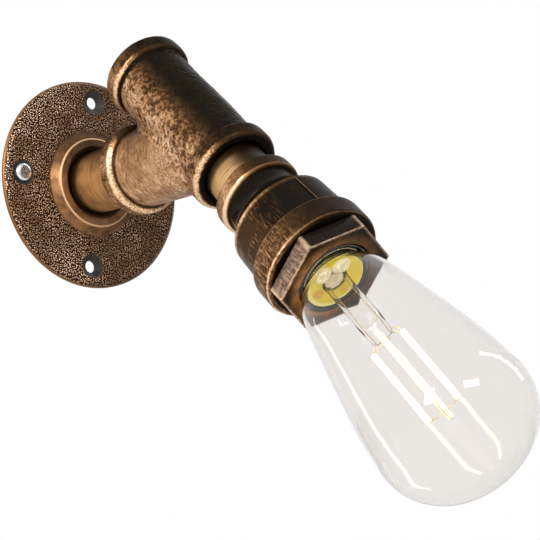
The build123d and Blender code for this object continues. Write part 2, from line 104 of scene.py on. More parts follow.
class Signal:
    """What one node of a finish gives. Written in a sum or product, it adds the Math node."""

    def __init__(self, finish, socket):
        self.finish, self.socket = finish, socket

    __add__ = __radd__ = arithmetic("ADD")
    __mul__ = __rmul__ = arithmetic("MULTIPLY")
    __sub__, __rsub__ = arithmetic("SUBTRACT"), arithmetic("SUBTRACT", swapped=True)
    __truediv__ = arithmetic("DIVIDE")
    __pow__ = arithmetic("POWER")
    at_least, at_most = arithmetic("MAXIMUM"), arithmetic("MINIMUM")

    def step(self, low, high):
        """0 below low, 1 above high, and an S-curve between them. low may be above high."""
        settings = {"interpolation_type": "SMOOTHSTEP"}
        return self.finish.node("ShaderNodeMapRange", settings, (self, low, high, 0.0, 1.0))

    def near(self, centre, half_width):
        """1 at centre, falling to 0 at half_width to either side."""
        away = self.finish.node("ShaderNodeMath", {"operation": "ABSOLUTE"}, (self - centre,))
        return away.step(half_width, 0.0)


class Finish:
    """A material, or the room's light. node() adds one node: its type, settings and inputs in order."""

    def __init__(self, name, room=False):
        self.material = (bpy.data.worlds if room else bpy.data.materials).new(name)
        self.material.use_nodes = True
        self.tree = self.material.node_tree
        self.shader = self.tree.nodes["Background" if room else "Principled BSDF"]

    def feed(self, socket, value):
        """Link a signal to a socket, or write a number or colour on it."""
        if isinstance(value, Signal):
            self.tree.links.new(value.socket, socket)
        elif socket.type == "RGBA":
            socket.default_value = (*value, 1.0)
        else:
            socket.default_value = value

    def node(self, kind, settings=None, values=(), output=None, **named):
        """values feed the inputs in order, named ones feed the input of that name. The signal is the
        first output, or the one called output."""
        made = self.tree.nodes.new(kind)
        for key, value in (settings or {}).items():
            setattr(made, key, value)
        for socket, value in zip([s for s in made.inputs if s.enabled], values):
            self.feed(socket, value)
        for key, value in named.items():
            self.feed(made.inputs[key.replace("_", " ").title()], value)
        return Signal(self, made.outputs[output] if output else next(s for s in made.outputs if s.enabled))

    def rays(self, *kinds):
        """1 where the ray that meets the surface is of one of these kinds, else 0."""
        found = 0.0
        for kind in kinds:
            found = self.node("ShaderNodeLightPath", output=f"Is {kind} Ray").at_least(found)
        return found

    def point(self):
        """The object's own coordinates, in metres."""
        return self.node("ShaderNodeTexCoord", output="Object")

    def attribute(self, name):
        """A number kept on the mesh's points."""
        return self.node("ShaderNodeAttribute", {"attribute_name": name}, output="Fac")

    def grazing(self):
        """0 where glass is seen face on, 1 at its outline, for the deeper tone that its edges have."""
        return self.node("ShaderNodeLayerWeight", None, (0.5,), output="Facing")

    def along(self, point, direction, origin=(0, 0, 0)):
        """How far a point lies along a direction from an origin, in millimetres."""
        offset = self.node("ShaderNodeVectorMath", {"operation": "SUBTRACT"}, (point, tuple(origin)))
        scaled = tuple(1000 * v for v in direction)
        return self.node("ShaderNodeVectorMath", {"operation": "DOT_PRODUCT"}, (offset, scaled))

    def vector(self, x, y, z):
        return self.node("ShaderNodeCombineXYZ", None, (x, y, z))

    def noise(self, point, scale, detail=2.0, roughness=0.5):
        return self.node("ShaderNodeTexNoise", vector=point, scale=scale, detail=detail, roughness=roughness)

    def mix(self, factor, a, b):
        """Colour a where the factor is 0 and colour b where it is 1."""
        return self.node("ShaderNodeMix", {"data_type": "RGBA"}, (factor, a, b))

    def bump(self, height, depth_mm, strength=1.0):
        return self.node("ShaderNodeBump", height=height, distance=depth_mm / 1000, strength=strength)

    def surface(self, **sockets):
        """Feed the shader itself: base_color=..., roughness=..., and so on."""
        for key, value in sockets.items():
            self.feed(self.shader.inputs[key.replace("_", " ").title().replace("Ior", "IOR")], value)


room = Finish("room", room=True)
room_seen = room.rays("Camera", "Glossy", "Transmission")
room.surface(color=(1, 1, 1), strength=ROOM_FILL + (1 - ROOM_FILL) * room_seen)
bpy.context.scene.world = room.material

for lamp_name, (place, aim, width, height, watts) in LAMPS.items():
    lamp = bpy.data.lights.new(lamp_name, "AREA")
    lamp.shape = "RECTANGLE"
    lamp.size, lamp.size_y, lamp.energy = width, height, watts
    softbox = placed(lamp_name, lamp)
    softbox.location = place
    softbox.rotation_euler = (Vector(aim) - Vector(place)).to_track_quat("-Z", "Y").to_euler()

floor_z = cad_box[0].z - FLOOR_DROP_M
floor_mesh = bpy.data.meshes.new("floor")
floor_mesh.from_pydata([(x, y, floor_z) for x, y in FLOOR_CORNERS_M], [], [(0, 1, 2, 3)])
floor = placed("floor", floor_mesh)
paint = Finish("pale_floor")
floor_seen = paint.rays("Camera", "Transmission")
paint.surface(
    base_color=paint.mix(floor_seen, FLOOR_PALE, FLOOR_SEEN),
    roughness=0.9,
    emission_color=paint.mix(floor_seen, (0, 0, 0), FLOOR_LIFT),
    emission_strength=1.0,
)
floor_mesh.materials.append(paint.material)

# ---------------------------------------------------------------- floor flange
# Sand-cast iron plate with a pebbled face and a short turned boss. It is dipped nearly black and
# the tops of the grain, the rim and the boss are rubbed back to copper-brown. Painted light makes the
# left side brighter and the boss darker towards its top, with painted cream glints on the highest
# grain and a painted highlight on the boss's left edge.
GRAIN_DARK, GRAIN_BROWN, GRAIN_GLINT_CREAM = (0.016, 0.0078, 0.0036), (0.165, 0.078, 0.033), (0.800, 0.580, 0.410)
HUB_DARK, HUB_BRONZE, HUB_HIGHLIGHT_TAN = (0.034, 0.016, 0.007), (0.290, 0.140, 0.057), (0.66, 0.43, 0.25)
RIM_ORANGE, GUNMETAL = (0.160, 0.068, 0.022), (0.030, 0.027, 0.025)
PEBBLES_PER_MM, PEBBLE_HEIGHT_MM = 1.12, 0.30
HUB_MOUTH_MM, HUB_FACE_MM, HUB_FOOT_MM, PLATE_OUT_MM = 13.8, 18.7, 22.3, 44.3  # radii
HUB_TOP_MM = 5.9  # the boss's edge stands this far out from the wall
HOLE_CIRCLE_MM, COUNTERSINK_MM = 36.0, 5.15

pebbled = Finish("pebbled_bronze_flange")
spot = pebbled.point()
flange_x = pebbled.along(spot, (1, 0, 0))
flange_z = pebbled.along(spot, (0, 0, 1))
proud = pebbled.along(spot, (0, -1, 0))
from_middle = (flange_x * flange_x + flange_z * flange_z) ** 0.5
in_holes = 0.0
for side_x, side_z in ((1, 0), (-1, 0), (0, 1), (0, -1)):
    dx, dz = flange_x - side_x * HOLE_CIRCLE_MM, flange_z - side_z * HOLE_CIRCLE_MM
    in_holes = in_holes + ((dx * dx + dz * dz) ** 0.5).step(COUNTERSINK_MM + 0.35, COUNTERSINK_MM)
plate = from_middle.step(HUB_FOOT_MM, HUB_FOOT_MM + 0.8) * from_middle.step(PLATE_OUT_MM + 0.4, PLATE_OUT_MM)
plate = plate * (1 - in_holes)
broad = pebbled.noise(spot, 42.0, 2.0)
patches = pebbled.noise(spot, 210.0, 3.0)
# Painted light: brighter towards the left and a little towards the bottom, where the light falls.
lit_from_left = (flange_x * -0.012 + flange_z * -0.004 + 0.5).at_least(0.0).at_most(1.0)

grain = pebbled.node(
    "ShaderNodeTexVoronoi", {"voronoi_dimensions": "2D"},
    vector=pebbled.vector(flange_x, flange_z, 0.0), scale=PEBBLES_PER_MM, randomness=0.85,
)
pebble = grain.step(0.54, 0.08)  # 1 on the top of a pebble, 0 in the groove round it
rubbed = pebble * (0.46 + 0.20 * patches.step(0.36, 0.62) + 0.40 * lit_from_left)
rubbed = rubbed * (0.76 + 0.24 * broad.step(0.35, 0.6))
grain_tone = pebbled.mix(rubbed.step(0.05, 0.46), GRAIN_DARK, GRAIN_BROWN)
# Painted glints: cream on the highest tops of the grain, most on the lit side.
grain_tone = pebbled.mix(rubbed.step(0.50, 0.98), grain_tone, GRAIN_GLINT_CREAM)

hub_cloud = pebbled.noise(spot, 190.0, 4.0, 0.55)
hub_edge = from_middle.near(HUB_FACE_MM + 0.35, 0.55) * proud.step(HUB_TOP_MM - 0.7, HUB_TOP_MM)
hub_rub = (0.35 + 0.65 * hub_cloud.step(0.34, 0.66)) * (0.15 + 0.85 * lit_from_left)
hub_rub = hub_rub * from_middle.step(HUB_MOUTH_MM, HUB_MOUTH_MM + 3.0)
hub_rub = hub_rub * (0.35 + 0.65 * flange_z.step(16.0, -2.0))  # painted shade: darker towards the top of the boss
hub_tone = pebbled.mix((hub_rub * 0.92 + hub_edge * 0.9).at_most(1.0), HUB_DARK, HUB_BRONZE)
# Painted highlight: tan along the boss's left edge.
hub_tone = pebbled.mix(hub_edge * lit_from_left, hub_tone, HUB_HIGHLIGHT_TAN)
on_rim = from_middle.step(PLATE_OUT_MM - 0.5, PLATE_OUT_MM)
smooth_tone = pebbled.mix(in_holes.at_most(1.0), pebbled.mix(on_rim, hub_tone, RIM_ORANGE), GUNMETAL)
smooth_rub = (hub_rub + on_rim).at_most(1.0)
pebbled.surface(
    base_color=pebbled.mix(plate, smooth_tone, grain_tone),
    metallic=0.25 + 0.45 * (rubbed * plate + smooth_rub * (1 - plate)),
    roughness=0.22 + 0.14 * patches + 0.16 * (1 - plate),
    specular_ior_level=0.07,
    normal=pebbled.bump(pebble * plate + 0.10 * hub_cloud * (1 - plate), PEBBLE_HEIGHT_MM, 0.9),
)


def coat(finish, *nodes):
    """Give CAD nodes, whose shape stays, a finish."""
    for node in nodes:
        frame["nodes"][node].data.materials.clear()
        frame["nodes"][node].data.materials.append(finish.material)


coat(pebbled, "wall_flange")

# ---------------------------------------------------------------- fixing screws
# Two zinc-plated pan-head screws with a cross recess, left and right in the flange. The earth screw
# inside the light is plated like them.
ZINC_PALE, ZINC_BLUE = (0.62, 0.62, 0.61), (0.50, 0.51, 0.53)


def clouded_metal(name, noise, one, other, least, more, metallic=1.0):
    """A metal whose colour and roughness drift together, with a noise of one scale and detail."""
    metal = Finish(name)
    cloud = metal.noise(metal.point(), *noise)
    metal.surface(base_color=metal.mix(cloud, one, other), metallic=metallic, roughness=least + more * cloud)
    return metal


zinc = clouded_metal("zinc_plate", (400.0, 2.0), ZINC_PALE, ZINC_BLUE, 0.22, 0.12)
coat(zinc, "fixing_screws", "earth_screw")

# ---------------------------------------------------------------- wall nipple and lamp nipple
# Cut lengths of steel pipe, turned smooth between their threads, so fine lines run round them.
# The wall nipple is a redder bronze than the lamp nipple. Each is brighter on the side towards the
# light, partly wear and partly painted light, and painted shade darkens it where it enters.
joints = {joint["name"]: joint for joint in frame["joints"]}
CROSSING = Vector(joints["bulb_unscrew"]["pos_m"])  # where the lamp's axis meets the wall nipple's
LAMP_DIR = Vector(joints["bulb_unscrew"]["axis"]).normalized()
WALL_OUT = Vector((0, -1, 0))
ARM_X = WALL_OUT.cross(LAMP_DIR).normalized()
LAMP_SIDE = LAMP_DIR.cross(ARM_X)
PIPE_MM, LINES_PER_MM = 13.2, 3.0
LIT_AND_RUBBED_TURN = np.radians(215.0)  # about a pipe from ARM_X: the side towards the light, painted bright and rubbed
BACK_TURN, BACK_SHARE = np.radians(318.0), 0.62  # a second side, rubbed less
NIPPLES = {  # node: axis, where it is measured from, dark, light, painted shade up to this distance along
    "wall_nipple": (WALL_OUT, (0, 0, 0), (0.030, 0.012, 0.004), (0.740, 0.400, 0.165), 6.0),
    "lamp_nipple": (LAMP_DIR, CROSSING, (0.018, 0.0085, 0.0032), (0.680, 0.410, 0.185), 17.0),
}


def towards(aside, over, turn):
    """aside and over (distances, signals or directions) taken towards a turn about their axis."""
    return aside * np.cos(turn) + over * np.sin(turn)


def rubbed_sides(aside, over, away, front, back):
    """1 on the side towards the light, painted as lit and with wear, BACK_SHARE on a second side with less
    wear and 0 between them. front and back are the shares of the radius, away, at which each begins and is
    full."""
    lit_and_rubbed = (towards(aside, over, LIT_AND_RUBBED_TURN) / away).step(*front)
    behind = (towards(aside, over, BACK_TURN) / away).step(*back)
    return lit_and_rubbed.at_least(behind * BACK_SHARE)


for node, (axis, start, dark, light, shaded_to) in NIPPLES.items():
    pipe = Finish(f"turned_bronze_{node}")
    spot = pipe.point()
    along_pipe = pipe.along(spot, axis, start)
    drift = pipe.noise(spot, 55.0, 2.0)
    line_place = pipe.vector(along_pipe * LINES_PER_MM, drift * 3.0, 0.0)
    fine_lines = pipe.noise(line_place, 1.0, 3.0, 0.6)
    blotch = pipe.noise(spot, 110.0, 3.0).step(0.30, 0.62)
    aside = pipe.along(spot, ARM_X, CROSSING)
    over = pipe.along(spot, axis.cross(ARM_X), CROSSING)
    lit_and_rubbed = rubbed_sides(aside, over, PIPE_MM, (-0.30, 0.95), (0.10, 0.95))
    # Painted light on the lit side, and painted shade where the pipe enters.
    tone = (0.62 + 0.38 * blotch) * (0.52 + 0.48 * fine_lines.step(0.3, 0.7)) * (0.05 + 0.95 * lit_and_rubbed)
    tone = tone * (0.15 + 0.85 * along_pipe.step(shaded_to, shaded_to + 6.0))
    pipe.surface(
        base_color=pipe.mix(tone.step(0.0, 0.85), dark, light),
        metallic=0.80,
        roughness=0.26 + 0.16 * fine_lines,
        specular_ior_level=0.08,
        normal=pipe.bump(fine_lines, 0.05, 0.7),
    )
    coat(pipe, node)

# ---------------------------------------------------------------- wye fitting and its plug
# Sand-cast 45-degree lateral, blackened and rubbed back: its skin is pitted, the beads are worn on
# their front edges, which carry painted highlights, and black stays in the pits. Painted light makes
# the left side and the underside brighter, and painted shade blackens the top and the mouths. The
# copy of the CAD casting is remeshed fine enough to hold the pits, so its crotch softens as sand
# leaves it.
import bmesh

CAST_VOXEL_MM = 0.56
PIT_MM, PIT_DEPTH_MM = 1.15, 0.17
SWELL_MM, SWELL_DEPTH_MM = 9.0, 0.35
CLOUD_MM, SMALL_CLOUD_MM = 5.5, 2.6
SKIN_FROM_MM = 15.0  # nearer to either axis lie the bores, which stay smooth
UPPER_BEAD_MM, LOWER_BEAD_MM = (-57.6, -49.2), (9.4, 17.8)  # along the lamp's axis
BRANCH_BEAD_MM = (32.9, 40.7)  # out from the wall
UPPER_BODY_MM, LOWER_BODY_MM, BRANCH_BODY_MM = 15.9, 17.0, 16.4  # radii beside the beads
BRANCH_FROM_WALL_MM = (60, 74)  # the branch gives way to the run between these distances
BRANCH_BORE_TO_MM = 66  # and its bore ends here
RUN_CLEAR_MM = (26, 30)  # from the lamp's axis: beyond them a point is clear of the run


def lattice_noise(points, cell, seed):
    """Heights 0 to 1 at the corners of cubes of side cell, blended along each side by t*t*(3-2t)."""
    cells = np.floor(points / cell).astype(int)
    t = points / cell - cells
    t = t * t * (3 - 2 * t)
    heights = np.random.default_rng(seed).random((64, 64, 64))
    total = np.zeros(len(points))
    for corner in np.ndindex(2, 2, 2):
        share = np.prod(np.where(corner, t, 1 - t), axis=1)
        total += share * heights[tuple(((cells + corner) % 64).T)]
    return total


def ramp(values, low, high):
    """0 below low, 1 above high, t*t*(3-2t) between; low may be above high."""
    t = np.clip((values - low) / (high - low), 0, 1)
    return t * t * (3 - 2 * t)


def merged_copy(node, name):
    """A copy of a CAD node's mesh with its loose corners merged, as a new object."""
    copy = bmesh.new()
    copy.from_mesh(frame["nodes"][node].data)
    bmesh.ops.remove_doubles(copy, verts=copy.verts, dist=2e-6)
    mesh = bpy.data.meshes.new(name)
    copy.to_mesh(mesh)
    copy.free()
    return placed(name, mesh)


def settle(piece):
    """Apply the piece's modifiers, so what they made is its own mesh."""
    graph = bpy.context.evaluated_depsgraph_get()
    made = bpy.data.meshes.new_from_object(piece.evaluated_get(graph))
    piece.modifiers.clear()
    piece.data = made


def per_point(mesh, name):
    """A number of three for each of the mesh's points, such as its place."""
    numbers = np.empty(len(mesh.vertices) * 3)
    mesh.vertices.foreach_get(name, numbers)
    return numbers.reshape(-1, 3)


def lamp_frame(points):
    """Millimetres along the lamp axis, along ARM_X, over it, and away from the lamp axis."""
    offset = (points - np.array(CROSSING)) * 1000
    along, aside, over = (offset @ np.array(axis) for axis in (LAMP_DIR, ARM_X, LAMP_SIDE))
    return along, aside, over, np.hypot(aside, over)


def rubbed_skin(aside, over, front, back):
    """What rubbed_sides gives, for arrays of points about an axis."""
    away = np.hypot(aside, over)
    lit_and_rubbed = ramp(towards(aside, over, LIT_AND_RUBBED_TURN) / away, *front)
    return np.maximum(lit_and_rubbed, BACK_SHARE * ramp(towards(aside, over, BACK_TURN) / away, *back))


def bead_share(distance, bead, radius, body):
    """1 on a bead: past the body's radius and between the bead's two ends."""
    inside = ramp(distance, bead[0] - 0.8, bead[0] - 0.2) * ramp(distance, bead[1] + 0.8, bead[1] + 0.2)
    return inside * ramp(radius, body + 0.25, body + 0.9)


def line_at(distance, place, edge, core):
    """1 on a line round an axis within core of a distance along it, 0 past edge."""
    return ramp(np.abs(distance - place), edge, core)


def keep_numbers(mesh, **numbers):
    """Keep one number a point on the mesh, under each name."""
    for name, values in numbers.items():
        mesh.attributes.new(name, "FLOAT", "POINT").data.foreach_set("value", values.astype(np.float32))


wye = merged_copy("wye_fitting", "cast_wye")
remesh = wye.modifiers.new("cast_skin", "REMESH")
remesh.mode, remesh.voxel_size, remesh.use_smooth_shade = "VOXEL", CAST_VOXEL_MM / 1000, True
settle(wye)
places, facing = per_point(wye.data, "co"), per_point(wye.data, "normal")
along, aside, over, from_lamp = lamp_frame(places)
from_wall = -places[:, 1] * 1000
over_pipe = (places - np.array(CROSSING)) @ np.array(WALL_OUT.cross(ARM_X)) * 1000
from_pipe = np.hypot(aside, over_pipe)

# Which part of the casting each point lies on.
body = np.interp(along, (UPPER_BEAD_MM[1], LOWER_BEAD_MM[0]), (UPPER_BODY_MM, LOWER_BODY_MM))
on_run = ramp(from_lamp, body + 2.6, body + 0.6) * ramp(along, UPPER_BEAD_MM[0] - 1, UPPER_BEAD_MM[0])
on_branch = (1 - on_run) * ramp(from_wall, BRANCH_FROM_WALL_MM[1], BRANCH_FROM_WALL_MM[0])
from_bores = np.minimum(from_lamp, np.where(from_wall < BRANCH_BORE_TO_MM, from_pipe, np.inf))
skin_share = ramp(from_bores, SKIN_FROM_MM - 0.6, SKIN_FROM_MM + 0.4)
on_upper = bead_share(along, UPPER_BEAD_MM, from_lamp, UPPER_BODY_MM)
on_lower = bead_share(along, LOWER_BEAD_MM, from_lamp, LOWER_BODY_MM)
on_mouth = bead_share(from_wall, BRANCH_BEAD_MM, from_pipe, BRANCH_BODY_MM) * ramp(from_lamp, *RUN_CLEAR_MM)
on_bead = np.clip(on_upper + on_lower + on_mouth, 0, 1)
smooth_branch = on_branch * (1 - on_bead)

# The pits and the swell of the sand mould, shallower on the beads and on the branch.
in_mm = places * 1000
pits = lattice_noise(in_mm, PIT_MM, 11) * 0.6 + lattice_noise(in_mm, PIT_MM * 0.62, 12) * 0.4
swell = lattice_noise(in_mm, SWELL_MM, 13)
clouds = lattice_noise(in_mm, CLOUD_MM, 14) * 0.6 + lattice_noise(in_mm, SMALL_CLOUD_MM, 15) * 0.4
depth = PIT_DEPTH_MM * (ramp(pits, 0.25, 0.75) - 0.6) * (1 - 0.65 * on_bead - 0.75 * smooth_branch)
depth += SWELL_DEPTH_MM * (swell - 0.5) * (1 - 0.5 * on_bead)
wye.data.vertices.foreach_set("co", (places + facing * (depth * skin_share / 1000)[:, None]).ravel())
wye.data.update()

# How bright each point is, wear and painted light together: 0 is black, 1 bright. The side towards
# the light, left and under, is painted brightest and the top is painted dark as shade; a second side
# shows a little wear.
lit = rubbed_skin(aside, over, (-0.02, 0.96), (0.10, 0.95))
branch_lit = rubbed_skin(aside, over_pipe, (-0.50, 1.0), (0.0, 0.95))
speckle = ramp(pits, 0.34, 0.60)
cloudy = ramp(clouds, 0.30, 0.62)
run_rub = lit * (0.26 + 0.52 * speckle + 0.20 * cloudy) + 0.02 * speckle
branch_rub = branch_lit * (0.57 + 0.09 * speckle + 0.16 * cloudy) + 0.05 * speckle
bead_rub = lit * (0.16 + 0.26 * speckle + 0.24 * cloudy) + 0.05 * speckle
bead_rub *= 1 - on_mouth
bead_rub += on_mouth * branch_lit * (0.28 + 0.26 * speckle + 0.24 * cloudy)
rub = run_rub * on_run + branch_rub * (1 - on_run)
rub = rub * (1 - on_bead) + bead_rub * on_bead

# A bright line along each bead's front edge: a worn edge with a painted highlight, strongest on the
# lit side.
edge_lit = 0.16 + 0.84 * lit
bright = line_at(along, UPPER_BEAD_MM[1] - 0.7, 1.5, 0.3) * on_upper * edge_lit
bright += line_at(along, LOWER_BEAD_MM[1] - 0.7, 1.5, 0.3) * on_lower * edge_lit
bright += line_at(from_wall, BRANCH_BEAD_MM[1] - 0.9, 1.4, 0.3) * on_mouth * branch_lit

# Black in the corners between the beads and the body; the lower corner's black falls only away from
# the light, as painted shade. Painted shade also blackens the lower mouth and the bores.
beside_upper = ramp(from_lamp, UPPER_BODY_MM + 1.3, UPPER_BODY_MM + 0.6)
beside_lower = ramp(from_lamp, LOWER_BODY_MM + 1.3, LOWER_BODY_MM + 0.6)
beside_mouth = ramp(from_pipe, BRANCH_BODY_MM + 1.2, BRANCH_BODY_MM + 0.5)
black = line_at(along, UPPER_BEAD_MM[1] + 0.4, 1.7, 0.4) * beside_upper
black += line_at(along, LOWER_BEAD_MM[0] - 0.2, 1.1, 0.2) * beside_lower * (1 - lit)
black += line_at(from_wall, BRANCH_BEAD_MM[1] + 0.4, 1.0, 0.2) * beside_mouth * 0.8
in_lower_mouth = ramp(from_lamp, LOWER_BODY_MM + 0.6, LOWER_BODY_MM - 0.4)
black += ramp(along, LOWER_BEAD_MM[1] - 0.5, LOWER_BEAD_MM[1] - 0.15) * in_lower_mouth
black += 1 - skin_share
rub = np.clip((rub + bright * 0.75) * (1 - np.clip(black, 0, 1)), 0, 1)
keep_numbers(wye.data, rub=rub, branch=smooth_branch)

BRUSH_MARKS = (WALL_OUT, 2.0), (ARM_X, 0.25), ((0, 0, 1), 0.25)  # way, how fast they change that way
PATINA = (  # how far it is worn and lit, and the colour there
    (0.0, (0.0050, 0.0036, 0.0022)),
    (0.25, (0.044, 0.0215, 0.0085)),
    (0.50, (0.170, 0.082, 0.034)),
    (0.75, (0.390, 0.210, 0.100)),
    (1.0, (0.700, 0.480, 0.300)),
)


def patina(finish, rub):
    """The colours of blackened bronze, from black through brown and tan to cream, as wear and painted light
    lift it.
    """
    tone = PATINA[0][1]
    for (low, _), (high, colour) in zip(PATINA, PATINA[1:]):
        tone = finish.mix(((rub - low) / (high - low)).at_least(0.0).at_most(1.0), tone, colour)
    return tone


cast = Finish("pitted_cast_bronze")
spot = cast.point()
fine = cast.noise(spot, 1500.0, 3.0, 0.6)
brush_place = cast.vector(*(cast.along(spot, way) * rate for way, rate in BRUSH_MARKS))
brushed = cast.noise(brush_place, 1.0, 3.0, 0.6)
smooth = cast.attribute("branch")
worn_share = 0.60 + 0.50 * fine.step(0.36, 0.56) * (1 - smooth)
worn_share = worn_share + smooth * (0.14 + 0.36 * brushed.step(0.3, 0.65))
worn_and_lit = (cast.attribute("rub") * worn_share).at_most(1.0)
cast.surface(
    base_color=patina(cast, worn_and_lit),
    metallic=0.80 * worn_and_lit,
    roughness=0.17 + 0.14 * worn_and_lit.step(0.0, 0.4) + 0.06 * fine,
    specular_ior_level=0.015,
    normal=cast.bump(fine + brushed * smooth, 0.08, 0.7),
)
wye.data.materials.append(cast.material)
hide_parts("wye_fitting")
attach(wye, "arm")

plug_black = Finish("blackened_plug")
spot = plug_black.point()
plug_cloud = plug_black.noise(spot, 300.0, 4.0, 0.6)
plug_edge = plug_black.along(spot, LAMP_DIR, CROSSING).step(UPPER_BEAD_MM[0] + 1.2, UPPER_BEAD_MM[0] + 0.5)
plug_black.surface(
    base_color=patina(plug_black, plug_cloud.step(0.45, 0.75) * 0.35 + 0.30 * plug_edge * plug_cloud),
    metallic=0.3 + 0.3 * plug_cloud,
    roughness=0.26 + 0.14 * plug_cloud,
    specular_ior_level=0.12,
    normal=plug_black.bump(plug_cloud, 0.15, 0.6),
)
coat(plug_black, "end_plug")

# ---------------------------------------------------------------- reducing socket
# Cast bell: its small bead is polished, its neck is left glossy black, and its body is black with
# lengthwise file marks, worn through where the body begins and on the large bead. Painted light makes
# the side towards the light brighter, with a painted highlight on the rib's edges, and painted shade
# keeps its mouths black.
SMALL_BEAD_MM, LARGE_BEAD_MM = (31.0, 37.9), (70.4, 81.8)  # along the lamp's axis
SMALL_BORE_MM, LARGE_BORE_MM, LARGE_EDGE_MM = 15.9, 22.4, 24.7  # radii
BELL_START_MM, BELL_R_MM, BELL_FLARE_MM = 52.6, 21.8, 1.1
RIB_EDGES = (-0.242, -0.140)  # the upper rib's long edges, as aside / distance from the axis


def about_lamp(finish, spot):
    """What lamp_frame gives, as signals of a finish."""
    along, aside, over = (finish.along(spot, axis, CROSSING) for axis in (LAMP_DIR, ARM_X, LAMP_SIDE))
    return along, aside, over, (aside * aside + over * over) ** 0.5


bell = Finish("filed_black_bronze")
spot = bell.point()
along, aside, over, from_axis = about_lamp(bell, spot)
away = from_axis.at_least(0.1)
lit_side = rubbed_sides(aside, over, away, (-0.15, 0.85), (0.10, 0.95))
file_marks = bell.noise(bell.vector(aside * 2.2, over * 2.2, along * 0.16), 1.0, 4.0, 0.65)
clouds = bell.noise(spot, 130.0, 3.0)
nicks = bell.noise(spot, 700.0, 3.0, 0.6)
streaks = file_marks.step(0.50, 0.66)

# Its small bead, large bead, body and neck.
on_small = along.step(SMALL_BEAD_MM[1] + 0.6, SMALL_BEAD_MM[1] - 0.2)
on_large = along.step(LARGE_BEAD_MM[0] - 0.2, LARGE_BEAD_MM[0] + 0.6)
on_body = along.step(BELL_START_MM - 0.9, BELL_START_MM + 0.3) * (1 - on_large)
on_neck = 1 - (on_small + on_large + on_body).at_most(1.0)
small_rub = on_small * (0.38 + 0.24 * clouds.step(0.3, 0.6) + 0.22 * nicks.step(0.4, 0.6))
body_rub = on_body * (0.01 + 0.56 * streaks * clouds.step(0.40, 0.62))
large_rub = on_large * (0.20 + 0.50 * streaks + 0.22 * nicks.step(0.4, 0.6))
# Painted light: all of it brighter on the side towards the light, and a painted sheen on the body there.
rub = (small_rub + body_rub + large_rub) * (0.10 + 0.90 * lit_side)
rub = rub + on_body * lit_side.step(0.70, 1.0) * 0.16

# Lines worn through round it, brighter on the lit side as painted light, and a painted highlight
# along the rib's edges.
worn_start = along.near(BELL_START_MM + 0.7, 1.7) * (0.60 + 0.40 * clouds.step(0.3, 0.6))
worn_start = worn_start * (0.55 + 0.45 * nicks.step(0.35, 0.6))
worn_front = along.near(LARGE_BEAD_MM[1] - 0.5, 0.85) * from_axis.step(LARGE_EDGE_MM - 0.6, LARGE_EDGE_MM)
worn_front = worn_front * nicks.step(0.20, 0.50) + along.near(LARGE_BEAD_MM[0] + 0.9, 0.7) * 0.30
worn_small = along.near(SMALL_BEAD_MM[1] - 0.7, 0.9)
rub = rub + worn_start * (0.34 + 0.60 * lit_side) + worn_front * (0.35 + 0.45 * lit_side)
rub = rub + worn_small * (0.3 + 0.5 * lit_side)
flare = BELL_FLARE_MM / (LARGE_BEAD_MM[0] - BELL_START_MM)
above_bell = from_axis - (BELL_R_MM + (along - BELL_START_MM) * flare)
across_rib = aside / away
rib_edge_highlight = across_rib.near(RIB_EDGES[0], 0.014) + 0.6 * across_rib.near(RIB_EDGES[1], 0.009)
rub = rub + rib_edge_highlight * above_bell.step(0.25, 0.55) * on_body * 0.95 * nicks.step(0.25, 0.5)

# Painted shade: the two mouths are black.
mouth_shade = from_axis.step(LARGE_BORE_MM + 0.8, LARGE_BORE_MM)
mouth_shade = mouth_shade * along.step(LARGE_BEAD_MM[1] - 0.9, LARGE_BEAD_MM[1] - 0.3)
mouth_shade = mouth_shade + from_axis.step(SMALL_BORE_MM + 0.5, SMALL_BORE_MM) * on_small
rub = (rub * (1 - mouth_shade.at_most(1.0))).at_most(1.0).at_least(0.0)
bell.surface(
    base_color=patina(bell, rub),
    metallic=0.75 * rub,
    roughness=0.28 + 0.12 * streaks - 0.18 * on_neck,
    specular_ior_level=0.025,
    normal=bell.bump(file_marks * (on_body + on_large).at_most(1.0) + 0.6 * nicks * on_small, 0.08, 0.6),
)
coat(bell, "reducing_socket")

# ---------------------------------------------------------------- hexagon bushing
# Cut from bar: dark flats with drag marks, corners worn pale and a little round, and a faced end
# that is rubbed to orange-bronze round its bore. Its corners are broken by a narrow bevel. Painted
# shade darkens the top flat and its corners, and painted light brightens the faced end on the lit side.
HEX_FACE_MM, HEX_HALF_MM, HEX_BORE_MM = 90.6, 21.25, 16.6
HEX_CORNER_TURN, SCRAPED_FLAT = -35.1, 3  # degrees, and flats counted on from that corner
HEX_BEVEL_MM = 0.35
BLACKENED, SCRAPED_GREY = (0.0060, 0.0045, 0.0030), (0.300, 0.195, 0.135)
FACE_DARK, FACE_ORANGE, EDGE_CREAM = (0.010, 0.0058, 0.003), (0.400, 0.165, 0.038), (0.600, 0.400, 0.260)

bushing = merged_copy("hex_bushing", "bevelled_bushing")
broken_corners = bushing.modifiers.new("broken_corners", "BEVEL")
broken_corners.width, broken_corners.segments = HEX_BEVEL_MM / 1000, 2
broken_corners.limit_method, broken_corners.angle_limit = "ANGLE", np.radians(40)
settle(bushing)
bushing.data.shade_smooth()
bushing.data.set_sharp_from_angle(angle=np.radians(35))

